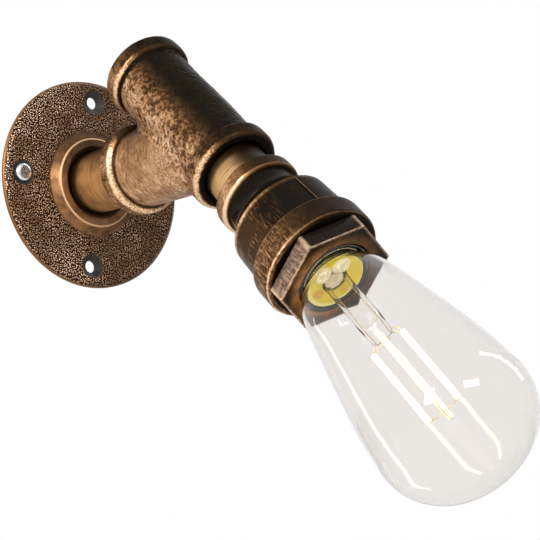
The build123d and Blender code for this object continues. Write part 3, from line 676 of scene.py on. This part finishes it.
hexed = Finish("scraped_hex_bronze")
spot = hexed.point()
along, aside, over, from_axis = about_lamp(hexed, spot)
away = from_axis.at_least(0.1)
clouds = hexed.noise(spot, 200.0, 4.0, 0.6)
nicks = hexed.noise(spot, 800.0, 3.0, 0.6)
drag_marks = hexed.noise(hexed.vector(aside * 1.6, over * 1.6, along * 0.35), 1.0, 4.0, 0.7)
on_face = along.step(HEX_FACE_MM - 0.22, HEX_FACE_MM - 0.04)
corner = from_axis.step(HEX_HALF_MM + 2.55, HEX_HALF_MM + 3.0)
top_flat = (over / away).step(-0.1, 0.7)

flat_turns = np.radians(HEX_CORNER_TURN + 30 + 60 * np.arange(6))
scraped_flat = towards(aside, over, flat_turns[SCRAPED_FLAT])
scraped_flat = scraped_flat.step(HEX_HALF_MM - 0.35, HEX_HALF_MM - 0.1)
# Painted shade: the top flat darker.
flat_rub = (0.14 + 0.26 * drag_marks.step(0.45, 0.7)) * (1 - 0.9 * top_flat)
flat_rub = flat_rub + scraped_flat * (0.14 + 0.72 * drag_marks.step(0.42, 0.58))
flat_tone = hexed.mix(flat_rub.at_most(1.0), BLACKENED, SCRAPED_GREY)

# Painted light: the faced end brighter on the side towards the light.
face_lit = (towards(aside, over, LIT_AND_RUBBED_TURN) / away).step(-0.7, 0.9)
face_rub = 0.06 + 0.94 * from_axis.step(HEX_BORE_MM + 5, HEX_BORE_MM)
face_rub = face_rub * (0.40 + 0.60 * clouds.step(0.34, 0.6)) * (0.30 + 0.70 * face_lit)
face_tone = hexed.mix(face_rub.at_most(1.0), FACE_DARK, FACE_ORANGE)

across_flats = 0.0  # the square of the largest of the three distances across the flats
for flat_turn in flat_turns[:3]:
    across = towards(aside, over, flat_turn)
    across_flats = (across * across).at_least(across_flats)
front_edge = across_flats.step((HEX_HALF_MM - 1.1) ** 2, (HEX_HALF_MM - 0.4) ** 2)
front_edge = along.near(HEX_FACE_MM - 0.15, 0.55) * front_edge
edge_share = corner * (1 - on_face) + front_edge
# Painted shade: the corners darker on top.
edge_share = edge_share * (0.35 + 0.65 * nicks.step(0.38, 0.56)) * (1 - 0.55 * top_flat)
hexed.surface(
    base_color=hexed.mix(edge_share.at_most(1.0), hexed.mix(on_face, flat_tone, face_tone), EDGE_CREAM),
    metallic=0.35 + 0.35 * clouds,
    roughness=0.26 + 0.15 * drag_marks,
    specular_ior_level=0.07,
    normal=hexed.bump(drag_marks * (1 - on_face) + clouds * on_face, 0.07, 0.7),
)
bushing.data.materials.append(hexed.material)
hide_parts("hex_bushing")
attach(bushing, "arm")

# ---------------------------------------------------------------- lampholder
# Glossy black moulded sleeve and cap, a porcelain insert between them, and brass that carries the
# current: the screw shell, the centre contact, the terminal screws and the earth's tag.
MOULDED_BLACK = (0.010, 0.010, 0.011)
PORCELAIN_GREY, PORCELAIN_WHITE = (0.78, 0.75, 0.68), (0.88, 0.86, 0.80)
BRASS_BRIGHT, BRASS_TARNISHED = (0.83, 0.60, 0.26), (0.62, 0.40, 0.15)

moulding = Finish("black_moulding")
moulding.surface(base_color=MOULDED_BLACK, roughness=0.14 + 0.08 * moulding.noise(moulding.point(), 300.0))
coat(moulding, "holder_shell", "holder_cap")

porcelain = Finish("glazed_porcelain")
glaze = porcelain.noise(porcelain.point(), 160.0, 2.0)
porcelain.surface(base_color=porcelain.mix(glaze, PORCELAIN_GREY, PORCELAIN_WHITE), roughness=0.18)
coat(porcelain, "holder_insert")

brass = Finish("bright_brass")
tarnish = brass.noise(brass.point(), 260.0, 3.0).step(0.35, 0.75)
brass_tone = brass.mix(tarnish, BRASS_BRIGHT, BRASS_TARNISHED)
brass.surface(base_color=brass_tone, metallic=1.0, roughness=0.22 + 0.15 * tarnish)
coat(brass, "screw_shell", "terminal_screws", "centre_contact", "earth_tag")

# ---------------------------------------------------------------- wires
# Single cores in plastic sleeves: brown live, blue neutral, and green earth, yellow on one side.
# They end at the flange, where the wall's wires come in.
SLEEVES = {
    "wire_live": (0.13, 0.050, 0.022),
    "wire_neutral": (0.015, 0.110, 0.420),
    "wire_earth": (0.03, 0.28, 0.05),
}
STRIPE_YELLOW = (0.75, 0.62, 0.04)

for node, colour in SLEEVES.items():
    sleeve = Finish(f"sleeve_{node}")
    spot = sleeve.point()
    dust = sleeve.noise(spot, 500.0, 2.0)
    if node == "wire_earth":
        stripe = sleeve.along(spot, ARM_X, CROSSING).step(-0.25, 0.25)
        colour = sleeve.mix(stripe, colour, STRIPE_YELLOW)
    sleeve.surface(base_color=colour, roughness=0.38 + 0.12 * dust)
    coat(sleeve, node)

# ---------------------------------------------------------------- bulb
# Long clear filament bulb: a thick blown envelope on a rolled screw cap, a pressed glass stem with
# its two lead wires, and four coated filaments. The glass leans a little in its cap, and all that
# is sealed into it leans with it. Each piece is turned or drawn from a few numbers.
LEAN_DEG, LEAN_TURN, GLASS_ASIDE_MM, GLASS_FOOT_MM = 2.2, 243.0, 0.4, 84.0
WALL_MM = 0.9
NECK_MM = (  # radius and distance along, from the foot of the neck to the widest place
    (11.65, 82.0), (11.85, 87.0), (12.0, 89.0), (13.7, 90.9), (17.3, 95.2), (20.5, 103.5),
    (26.0, 130.5), (30.2, 154.5), (32.1, 174.0),
)
WIDEST_MM, SHOULDER_R_MM, TIP_MM = 174.0, 23.6, 199.0
ROUND, ENVELOPE_ROUND = 72, 128  # points round a turned piece, and round the envelope

lean_turn = np.radians(LEAN_TURN)
lean_way = towards(ARM_X, LAMP_SIDE, lean_turn)
lean = Matrix.Rotation(np.radians(LEAN_DEG), 3, LAMP_DIR.cross(lean_way))
glass_dir = lean @ LAMP_DIR
glass_foot = CROSSING + LAMP_DIR * (GLASS_FOOT_MM / 1000) + lean_way * (GLASS_ASIDE_MM / 1000)
glass_start = glass_foot - glass_dir * (GLASS_FOOT_MM / 1000)
STRAIGHT = [np.array(v) for v in (CROSSING, ARM_X, LAMP_SIDE, LAMP_DIR)]
LEANED = [np.array(v) for v in (glass_start, lean @ ARM_X, lean @ LAMP_SIDE, glass_dir)]


def put(axes, aside, over, along):
    """Points in metres from millimetres along the three directions of a frame."""
    origin, first, second, third = axes
    return origin + (aside[..., None] * first + over[..., None] * second + along[..., None] * third) / 1000


def all_round(count):
    """The angles of this many points round a circle."""
    return np.linspace(0, 2 * np.pi, count, endpoint=False)


def skin(name, points, loop=False, body="bulb"):
    """A mesh over a grid of points, row by row. The columns close into rings; rows that shrink to a
    point become one, and loop joins the last row to the first."""
    rows, columns = points.shape[:2]
    index = np.arange(rows * columns).reshape(rows, columns)
    index = np.concatenate([index, index[:1]]) if loop else index
    index = np.concatenate([index, index[:, :1]], axis=1)
    faces = np.stack([index[:-1, :-1], index[:-1, 1:], index[1:, 1:], index[1:, :-1]], axis=-1)
    shape = bmesh.new()
    mesh = bpy.data.meshes.new(name)
    mesh.from_pydata(points.reshape(-1, 3), [], faces.reshape(-1, 4))
    shape.from_mesh(mesh)
    bmesh.ops.remove_doubles(shape, verts=shape.verts, dist=1e-6)
    bmesh.ops.dissolve_degenerate(shape, edges=shape.edges, dist=1e-7)
    bmesh.ops.recalc_face_normals(shape, faces=shape.faces)
    shape.to_mesh(mesh)
    shape.free()
    mesh.shade_smooth()
    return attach(placed(name, mesh), body)


def turned(name, profile, axes, body="bulb", wave=0.0, around=ROUND):
    """A closed wall turned about an axis: profile row (radius, distance) at every angle, and wave, a
    grid of millimetres, added to the radius."""
    angle = all_round(around)
    radius = profile[:, :1] + wave * (profile[:, :1] > 0)
    along = np.repeat(profile[:, 1:], around, axis=1)
    return skin(name, put(axes, radius * np.cos(angle), radius * np.sin(angle), along), loop=True, body=body)


def unit(rows):
    """Each row at a length of one."""
    return rows / np.linalg.norm(rows, axis=1, keepdims=True)


def drawn_through(points, steps):
    """A curve through points: cubic pieces whose slope at each point is that of its neighbours."""
    points = np.asarray(points, float)
    slope = np.gradient(points, axis=0)
    t = np.linspace(0, 1, steps, endpoint=False)[:, None]
    a, b, m, n = points[:-1, None], points[1:, None], slope[:-1, None], slope[1:, None]
    curve = a * (2 * t**3 - 3 * t**2 + 1) + b * (3 * t**2 - 2 * t**3)
    curve += m * (t**3 - 2 * t**2 + t) + n * (t**3 - t**2)
    return np.concatenate([curve.reshape(-1, points.shape[1]), points[-1:]])


def wire(name, routes, radius, across=12):
    """Round wires in the leaned glass, drawn through points (aside, over, along), a piece for each
    route. A ring of points stands across the line at each step, and each end runs to a low cone."""
    pieces = []
    for number, route in enumerate(routes):
        line = drawn_through(route, 8)
        ahead = unit(np.gradient(line, axis=0))
        side = unit(np.cross(ahead, (0.31, 0.83, 0.47)))  # any direction that no wire runs along
        lift = np.cross(ahead, side)
        cone = radius * 0.6
        line = np.concatenate([line[:1] - ahead[:1] * cone, line, line[-1:] + ahead[-1:] * cone])
        side, lift = (np.concatenate([v[:1], v, v[-1:]]) for v in (side, lift))
        girth = np.full(len(line), radius)
        girth[[0, -1]] = 0
        angle = all_round(across)[None, :, None]
        spoke = np.cos(angle) * side[:, None] + np.sin(angle) * lift[:, None]
        ring = line[:, None] + girth[:, None, None] * spoke
        pieces.append(skin(f"{name}_{number}", put(LEANED, ring[..., 0], ring[..., 1], ring[..., 2])))
    return pieces


def finish_pieces(finish, slot, pieces, *nodes):
    """Give new pieces their finish, and let each stand for the CAD nodes. slot is not used."""
    for piece in pieces:
        piece.data.materials.append(finish.material)
        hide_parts(*nodes)


# The envelope: neck and cone, then a shoulder arc, then the large arc of its end; the inner wall
# is the same line moved in by the thickness.
shoulder_in, end_depth = NECK_MM[-1][0] - SHOULDER_R_MM, TIP_MM - WIDEST_MM
end_r = (shoulder_in**2 + end_depth**2 - SHOULDER_R_MM**2) / (2 * (end_depth - SHOULDER_R_MM))
end_middle = TIP_MM - end_r
meeting = np.arctan2(WIDEST_MM - end_middle, shoulder_in)


def arc(radius, middle_in, middle_along, start, stop, steps):
    """Profile rows on a circle about a middle, from one angle to another, without the first."""
    turn = np.linspace(start, stop, steps)[1:, None]
    return np.hstack([middle_in + radius * np.cos(turn), middle_along + radius * np.sin(turn)])


shoulder = arc(SHOULDER_R_MM, shoulder_in, WIDEST_MM, 0, meeting, 26)
end = arc(end_r, 0.0, end_middle, meeting, np.pi / 2, 16)
outer = np.vstack([drawn_through(NECK_MM, 10), shoulder, end])
outer[-1, 0] = 0.0
heading = unit(np.gradient(outer, axis=0))
inner = outer + WALL_MM * np.stack([-heading[:, 1], heading[:, 0]], axis=1)
inner[-1] = (0.0, TIP_MM - WALL_MM)
envelope = turned("bulb_envelope", np.vstack([outer, inner[::-1]]), LEANED, around=ENVELOPE_ROUND)

CLEAR, EDGE_GREY = (0.905, 0.885, 0.868), (0.56, 0.545, 0.525)
clear = Finish("clear_bulb_glass")
envelope_tone = clear.mix(clear.grazing() ** 4.0, CLEAR, EDGE_GREY)
clear.surface(base_color=envelope_tone, roughness=0.0, ior=1.26, transmission_weight=1.0)
finish_pieces(clear, "clear_glass", [envelope], "bulb_glass")

# The stem: a tube that flares to meet the neck and is pressed flat round the wires at its top. Its
# section is an oval, whose wide side lies along the two lead wires.
STEM_OUTSIDE_MM = (  # distance along, half the width, half the thickness
    (84.0, 10.6, 10.6), (84.8, 10.6, 10.6), (87.0, 7.0, 7.0), (90.0, 5.2, 5.2), (100.0, 5.2, 5.2),
    (112.0, 5.2, 5.2), (116.0, 5.2, 4.6), (119.0, 5.1, 2.8), (122.0, 4.8, 1.6), (125.5, 4.6, 1.4),
    (126.6, 3.8, 0.9), (127.0, 0.0, 0.0),
)
STEM_HOLLOW_MM = (
    (118.5, 0.0, 0.0), (117.5, 3.0, 1.2), (114.0, 4.1, 3.2), (110.0, 4.4, 4.3), (90.2, 4.4, 4.4),
    (87.4, 6.2, 6.2), (84.0, 9.8, 9.8),
)
STEM_CLEAR, STEM_EDGE = (0.985, 0.98, 0.97), (0.90, 0.84, 0.74)
FILAMENT_TURN = 56.0  # degrees from ARM_X to the first filament, and to the wide side of the stem

press = np.radians(FILAMENT_TURN)
angle = all_round(ROUND)
stem_along, half_width, half_thickness = np.array(STEM_OUTSIDE_MM + STEM_HOLLOW_MM).T[..., None]
wide, thin = half_width * np.cos(angle), half_thickness * np.sin(angle)
stem_aside = wide * np.cos(press) - thin * np.sin(press)
stem_over = wide * np.sin(press) + thin * np.cos(press)
stem_rows = np.repeat(stem_along, ROUND, axis=1)
stem = skin("pressed_stem", put(LEANED, stem_aside, stem_over, stem_rows), loop=True)
stem_clear = Finish("clear_stem_glass")
stem_tone = stem_clear.mix(stem_clear.grazing() ** 3.0, STEM_CLEAR, STEM_EDGE)
stem_clear.surface(base_color=stem_tone, roughness=0.02, ior=1.09, transmission_weight=1.0)
finish_pieces(stem_clear, "stem_glass", [stem], "bulb_stem")

# The wires: two leads run up the stem and out to the filaments' feet, each with a short tail; two
# struts leave the pressed top for the other feet, and a small loop sits on it. At the far ends the
# filaments are tied across in pairs.
FILAMENT_RING_MM, FILAMENT_R_MM = 7.0, 1.2
FILAMENT_MM = (129.5, 166.5)
FOOT_MM, FAR_TIE_MM = FILAMENT_MM[0] - 0.4, FILAMENT_MM[1] + 0.4
LEAD_WIRE_R_MM, TIE_R_MM, LOOP_R_MM = 0.20, 0.24, 1.9
NICKEL_PALE, NICKEL_BROWN = (0.90, 0.74, 0.48), (0.66, 0.46, 0.24)


def at_turn(turn, radius):
    """The aside and over of a place at a turn, in degrees, and a radius."""
    return radius * np.cos(np.radians(turn)), radius * np.sin(np.radians(turn))


leads, ties = [], []
for turn in (FILAMENT_TURN, FILAMENT_TURN + 180):
    low, mid, foot = (at_turn(turn, r) for r in (3.3, 3.6, FILAMENT_RING_MM))
    leads.append([(*low, 80.0), (*low, 100.0), (*mid, 120.0), (*mid, 126.0), (*foot, FOOT_MM)])
    bend, tip = at_turn(turn + 14, FILAMENT_RING_MM), at_turn(turn + 30, 5.6)
    leads.append([(*foot, FOOT_MM), (*bend, FILAMENT_MM[0] - 1.6), (*tip, FILAMENT_MM[0] - 2.4)])
for turn in (FILAMENT_TURN + 90, FILAMENT_TURN + 270):
    start, bend, foot = (at_turn(turn, r) for r in (1.0, 3.6, FILAMENT_RING_MM))
    leads.append([(*start, 125.5), (*bend, 127.6), (*foot, FOOT_MM)])
loop_turn = np.linspace(0, 2 * np.pi, 13)
loop_along = 127.2 + 1.5 * np.sin(loop_turn / 2)
leads.append(list(zip(LOOP_R_MM * np.cos(loop_turn), LOOP_R_MM * np.sin(loop_turn), loop_along)))
for turn in (FILAMENT_TURN, FILAMENT_TURN + 90):
    a, b = (at_turn(t, FILAMENT_RING_MM + 0.8) for t in (turn, turn + 180))
    near_a, near_b = at_turn(turn + 8, 3.4), at_turn(turn + 172, 3.4)
    ties.append([(*a, FAR_TIE_MM), (*near_a, FAR_TIE_MM + 1), (*near_b, FAR_TIE_MM + 1), (*b, FAR_TIE_MM)])
nickel = clouded_metal("nickel_plate", (400.0, 2.0), NICKEL_PALE, NICKEL_BROWN, 0.2, 0.2, metallic=0.9)
finish_pieces(nickel, "lead_wire", wire("lead_wire", leads, LEAD_WIRE_R_MM), "bulb_lead_wires")
finish_pieces(nickel, "lead_wire", wire("filament_tie", ties, TIE_R_MM), "filament_supports")

# The filaments: strips in a yellow coat, white on the two faces that carry the lights and golden
# along the two edges between them.
GLOW_WARM, GLOW_PALE, GLOW_GOLD = (1.0, 0.86, 0.58), (1.0, 0.90, 0.66), (0.070, 0.050, 0.022)
MIDDLE_GLOW = (0.062, 0.049, 0.027)  # the two rods that turn their backs to the room are dimmer
GLOW_STRENGTH = 20.0

rod_along = (FILAMENT_MM[0], 142.0, 154.0, FILAMENT_MM[1])
rods = [[(*at_turn(FILAMENT_TURN + 90 * k, FILAMENT_RING_MM), d) for d in rod_along] for k in range(4)]
glow = Finish("glowing_filament")
spot = glow.point()
glow_cloud = glow.noise(spot, 900.0, 1.0)
press_way = lean @ towards(ARM_X, LAMP_SIDE, press)
out_to_side = glow.along(spot, press_way, glass_foot)
out_to_side = (out_to_side * out_to_side) ** 0.5
facing_side = out_to_side.step(3.0, 3.75)
across_strip = (out_to_side - FILAMENT_RING_MM) / FILAMENT_R_MM  # -1 and 1 at a strip's two edges
golden_edge = (1 - (1 - across_strip * across_strip).at_least(0.0) ** 0.5).step(0.04, 0.55)
side_glow = glow.mix(golden_edge, glow.mix(glow_cloud, GLOW_WARM, GLOW_PALE), GLOW_GOLD)
glow.surface(
    base_color=(0.9, 0.75, 0.40),
    roughness=0.5,
    emission_color=glow.mix(facing_side, MIDDLE_GLOW, side_glow),
    emission_strength=GLOW_STRENGTH,
)
finish_pieces(glow, "filament_glow", wire("filament", rods, FILAMENT_R_MM, across=20), "led_filaments")

# The cap: sheet metal rolled to the round thread, with a flared rim. Its thread is in step with the
# holder's, so it screws out cleanly. The holder's shell has the same thread on a wider circle.
THREAD_PITCH_MM, THREAD_DEPTH_MM = 3.629, 0.42
CAP_MM = (12.7, (69.8, 89.5), 0.35, 0.75)  # radius, its two ends along the axis, wall, flare
HOLDER_SHELL_MM = (13.9, (58.9, 84.5), 0.3, 0.0)
CAP_CREAM, CAP_BROWN = (0.80, 0.72, 0.52), (0.62, 0.53, 0.34)


def threaded(name, body, radius, span, wall, flare):
    """A rolled sheet: radius plus a cosine of 2 pi distance / pitch - angle, inside and out."""
    rows = np.linspace(*span, int((span[1] - span[0]) / 0.36))
    turns = all_round(ROUND)
    faded = ramp(rows, span[0] + 0.8, span[0] + 2.2) * ramp(rows, span[1] - 2.4, span[1] - 3.6)
    wave = THREAD_DEPTH_MM * faded[:, None] * np.cos(2 * np.pi * rows[:, None] / THREAD_PITCH_MM - turns)
    base = radius + flare * ramp(rows, span[1] - 2.0, span[1] - 1.0)
    base -= 0.9 * ramp(rows, span[0] + 0.9, span[0]) * (flare > 0)  # a flared sheet is drawn in at its foot
    profile = np.vstack([np.stack([base, rows], 1), np.stack([base - wall, rows], 1)[::-1]])
    return turned(name, profile, STRAIGHT, body=body, wave=np.vstack([wave, wave[::-1]]))


cap_metal = clouded_metal("warm_cap_metal", (300.0, 3.0), CAP_CREAM, CAP_BROWN, 0.18, 0.2)
screw_cap = threaded("screw_cap", "bulb", *CAP_MM)
holder_screw = threaded("holder_screw_shell", "arm", *HOLDER_SHELL_MM)
finish_pieces(cap_metal, "cap_metal", [screw_cap], "bulb_cap_shell")
finish_pieces(brass, "contact_brass", [holder_screw], "screw_shell")

solder = Finish("tin_solder")
solder_cloud = solder.noise(solder.point(), 900.0, 3.0)
solder.surface(base_color=(0.62, 0.62, 0.63), metallic=1.0, roughness=0.25 + 0.2 * solder_cloud)
coat(solder, "bulb_contact_tip")

cap_glass = Finish("black_cap_glass")
cap_glass.surface(
    base_color=(0.012, 0.012, 0.014), roughness=0.12 + 0.05 * cap_glass.noise(cap_glass.point(), 300.0)
)
coat(cap_glass, "bulb_cap_insulator")

board = Finish("green_driver_board")
board_cloud = board.noise(board.point(), 700.0, 2.0)
board.surface(base_color=board.mix(board_cloud, (0.020, 0.120, 0.040), (0.035, 0.200, 0.070)), roughness=0.4)
coat(board, "bulb_driver")

# The shield: a coated disc that the filaments light to lemon yellow, painted in as its colour and
# a faint glow, with painted glare in cream where they shine on it, amber by the stem and a paler rim.
LEMON, LEMON_PALE, AMBER = (0.76, 0.56, 0.006), (0.82, 0.65, 0.040), (0.72, 0.36, 0.020)
GLARE_CREAM, RIM_YELLOW = (0.86, 0.80, 0.52), (0.92, 0.86, 0.34)
SHIELD_RIM_MM = 12.2

shield = Finish("lit_yellow_shield")
spot = shield.point()
disc_x = shield.along(spot, ARM_X, CROSSING)
disc_y = shield.along(spot, LAMP_SIDE, CROSSING)
mottle = shield.noise(spot, 260.0, 3.0)


def disc_spot(turn, radius, size):
    """A soft round patch on the shield, at a turn and radius in millimetres."""
    x, y = at_turn(turn, radius)
    dx, dy = disc_x - x, disc_y - y
    return ((dx * dx + dy * dy) ** 0.5 + 3.0 * (mottle - 0.5)).step(size, size * 0.45)


# Painted glare: cream spots where the filaments shine on the disc.
glare_spots = (disc_spot(163, 8.0, 4.6) + disc_spot(101, 7.6, 4.6)).at_most(1.0)
amber = (disc_spot(236, 8.9, 3.0) + 0.6 * disc_spot(326, 8.6, 2.8)).at_most(1.0)
shield_rim = ((disc_x * disc_x + disc_y * disc_y) ** 0.5).step(SHIELD_RIM_MM - 1.2, SHIELD_RIM_MM)
shield_tone = shield.mix(amber, shield.mix(mottle, LEMON, LEMON_PALE), AMBER)
shield_tone = shield.mix(shield_rim * 0.7, shield.mix(glare_spots, shield_tone, GLARE_CREAM), RIM_YELLOW)
# Painted light: the disc glows faintly in its own colour.
shield.surface(base_color=shield_tone, roughness=0.45, emission_color=shield_tone, emission_strength=0.22)
coat(shield, "neck_shield")

# Two lumps of white cement hold the stem to the shield, and a plug of it closes the stem's foot.
CEMENT = (  # name, turn, distance out, radius, height, foot along the axis, seed of its dents
    ("cement_0", 163.0, 7.6, 3.7, 2.3, 91.35, 50),
    ("cement_1", 101.0, 7.6, 3.9, 2.5, 91.35, 51),
    ("stem_plug", 0.0, 0.0, 4.1, 1.6, 90.9, 60),
)
CEMENT_YELLOW, CEMENT_WHITE = (0.70, 0.58, 0.28), (0.90, 0.84, 0.62)
DENT_MM = 1.4

cement = Finish("white_cement")
cement_tone = cement.mix(cement.noise(cement.point(), 420.0, 3.0), CEMENT_YELLOW, CEMENT_WHITE)
# Painted light: a faint glow in its own colour, as if the filaments lit it.
cement.surface(base_color=cement_tone, roughness=0.5, emission_color=cement_tone, emission_strength=0.20)


def lump(name, turn, out, radius, height, foot_mm, seed):
    """A low dome on a foot: height falls as sqrt(1 - r*r), and lattice noise dents it. Its last ring
    is the foot's edge and its last point the middle of the foot."""
    r = np.concatenate([np.linspace(0, 1, 12), [0.0]])[:, None]
    angle = all_round(40)
    middle = at_turn(turn, out)
    aside, over = middle[0] + radius * r * np.cos(angle), middle[1] + radius * r * np.sin(angle)
    rise = height * np.sqrt(np.clip(1 - r * r, 0, 1)) * np.ones_like(angle)
    rise[-1] = 0
    places = np.stack([aside.ravel(), over.ravel(), rise.ravel()], 1) + 40  # clear of the lattice's seam
    dents = lattice_noise(places, DENT_MM, seed).reshape(rise.shape)
    rise = rise * (0.40 + 0.90 * dents * (r > 0) + 0.45 * (r == 0))
    return skin(name, put(LEANED, aside, over, foot_mm + rise))


finish_pieces(cement, "shield_yellow", [lump(*sizes) for sizes in CEMENT])

import json
